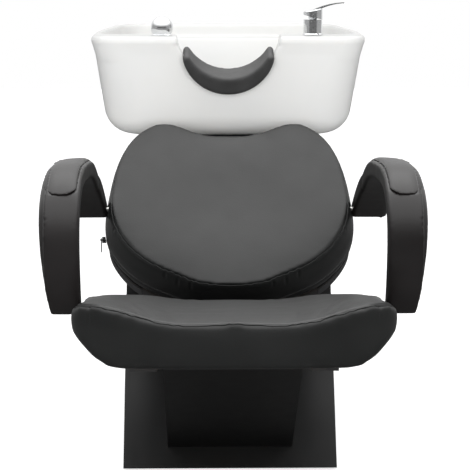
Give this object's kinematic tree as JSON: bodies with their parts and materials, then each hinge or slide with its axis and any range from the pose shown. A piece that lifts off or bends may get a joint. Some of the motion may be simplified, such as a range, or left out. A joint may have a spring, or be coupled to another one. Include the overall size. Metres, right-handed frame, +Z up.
{
  "type": "shampoo backwash unit",
  "caption": "Salon backwash unit: padded seat, leaning backrest and looped armrests on a steel cabinet, with a tilting ceramic basin, mixer and hand shower.",
  "frame": {"origin": "floor level, at the centre of the unit's footprint box", "axes": "+X to the right seen from in front of the seat, +Y from the seat's front edge back to the basin, +Z up"},
  "size_m": [0.5896, 1.29, 0.8166],
  "materials": {
    "cabinet_steel": "satin black powder coat",
    "frame_steel": "matt black paint",
    "zinc_fasteners": "zinc plated",
    "seat_vinyl": "dark grey soft vinyl, fine grain, satin",
    "board_wood": "raw plywood",
    "cover_plastic": "fine grained black",
    "zip_metal": "black enamel",
    "armrest_plastic": "satin black polyurethane skin",
    "armrest_pad": "smooth black padding",
    "basin_glaze": "white glaze, high gloss",
    "neck_rubber": "dark grey, fine textured",
    "chrome": "polished",
    "stainless": "satin stainless",
    "white_plastic": "moulded white",
    "grey_hose": "ribbed grey",
    "braided_hose": "stainless braid",
    "bush_bronze": "sintered bronze",
    "black_rubber": "plain black",
    "knob_plastic": "gloss black"
  },
  "bodies": {
    "base": {"front_panel": "cabinet_steel", "left_side_panel": "cabinet_steel", "right_side_panel": "cabinet_steel", "top_panel": "cabinet_steel", "rear_access_panel": "cabinet_steel", "seat_column_cover": "cabinet_steel", "base_frame": "frame_steel", "seat_back_bars": "frame_steel", "armrest_front_brackets": "frame_steel", "armrest_rear_straps": "frame_steel", "tilt_yoke": "frame_steel", "access_panel_screws": "zinc_fasteners", "foot_lock_nuts": "zinc_fasteners", "seat_frame_bolts": "zinc_fasteners", "board_bolts": "zinc_fasteners", "armrest_bolts": "zinc_fasteners", "yoke_bolts": "zinc_fasteners", "tilt_axle": "zinc_fasteners", "seat_cushion": "seat_vinyl", "backrest_cushion": "seat_vinyl", "seat_board": "board_wood", "backrest_board": "board_wood", "backrest_rear_cover": "cover_plastic", "zip_slider": "zip_metal", "left_armrest": "armrest_plastic", "right_armrest": "armrest_plastic", "left_armrest_pad": "armrest_pad", "right_armrest_pad": "armrest_pad", "supply_nuts": "stainless", "waste_outlet_pipe": "white_plastic", "waste_hose": "grey_hose", "hot_supply_hose": "braided_hose", "cold_supply_hose": "braided_hose"},
    "basin_assembly": {"basin": "basin_glaze", "drain_flange": "stainless", "drain_gasket": "black_rubber", "drain_nut": "white_plastic", "drain_tailpiece": "white_plastic", "basin_cradle": "frame_steel", "cradle_pad": "black_rubber", "cradle_bolts": "zinc_fasteners", "tilt_bushes": "bush_bronze", "mixer_body": "chrome", "shower_holder": "chrome", "deck_nuts": "stainless", "shower_hose": "braided_hose"},
    "strainer": {"drain_strainer": "stainless"},
    "neck_cushion": {"neck_rest": "neck_rubber"},
    "mixer_head": {"mixer_turret": "chrome"},
    "mixer_handle": {"mixer_lever": "chrome", "mixer_lever_pin": "chrome"},
    "hand_shower": {"shower_handset": "chrome", "shower_spray_face": "white_plastic"},
    "tilt_lock": {"tilt_lock_lever": "frame_steel", "tilt_lock_knob": "knob_plastic"},
    "zip_tag": {"zip_pull": "zip_metal"},
    "foot_front_left": {"levelling_foot_front_left": "zinc_fasteners"},
    "foot_rear_left": {"levelling_foot_rear_left": "zinc_fasteners"},
    "foot_front_right": {"levelling_foot_front_right": "zinc_fasteners"},
    "foot_rear_right": {"levelling_foot_rear_right": "zinc_fasteners"}
  },
  "joints": [
    {"name": "basin_tilt", "type": "hinge", "parent": "base", "child": "basin_assembly", "pos_m": [0, 0.52, 0.54], "axis": [1, 0, 0], "range_deg": [-12, 4], "deforming": ["waste_hose", "hot_supply_hose", "cold_supply_hose"]},
    {"name": "strainer_lift", "type": "slide", "parent": "basin_assembly", "child": "strainer", "axis": [0, 0, 1], "range_m": [0, 0.06]},
    {"name": "neck_rest_lift", "type": "slide", "parent": "basin_assembly", "child": "neck_cushion", "axis": [0, -0.2873, 0.9578], "range_m": [0, 0.09]},
    {"name": "mixer_turn", "type": "hinge", "parent": "basin_assembly", "child": "mixer_head", "pos_m": [0.157, 0.187, 0.78], "axis": [0, 0, 1], "range_deg": [-45, 45]},
    {"name": "mixer_lift", "type": "hinge", "parent": "mixer_head", "child": "mixer_handle", "pos_m": [0.157, 0.187, 0.79], "axis": [0, -1, 0], "range_deg": [0, 25]},
    {"name": "shower_lift", "type": "slide", "parent": "basin_assembly", "child": "hand_shower", "axis": [0, 0, 1], "range_m": [0, 0.085], "deforming": ["shower_hose"]},
    {"name": "tilt_lock_swing", "type": "hinge", "parent": "base", "child": "tilt_lock", "pos_m": [0.086, 0.52, 0.54], "axis": [1, 0, 0], "range_deg": [0, 12]},
    {"name": "zip_pull_swing", "type": "hinge", "parent": "base", "child": "zip_tag", "pos_m": [-0.228, -0.0098, 0.40453], "axis": [1, 0, 0], "range_deg": [-40, 40]},
    {"name": "foot_front_left_turn", "type": "hinge", "parent": "base", "child": "foot_front_left", "pos_m": [-0.15, -0.015, 0], "axis": [0, 0, 1], "continuous": true},
    {"name": "foot_rear_left_turn", "type": "hinge", "parent": "base", "child": "foot_rear_left", "pos_m": [-0.15, 0.55, 0], "axis": [0, 0, 1], "continuous": true},
    {"name": "foot_front_right_turn", "type": "hinge", "parent": "base", "child": "foot_front_right", "pos_m": [0.15, -0.015, 0], "axis": [0, 0, 1], "continuous": true},
    {"name": "foot_rear_right_turn", "type": "hinge", "parent": "base", "child": "foot_rear_right", "pos_m": [0.15, 0.55, 0], "axis": [0, 0, 1], "continuous": true}
  ]
}
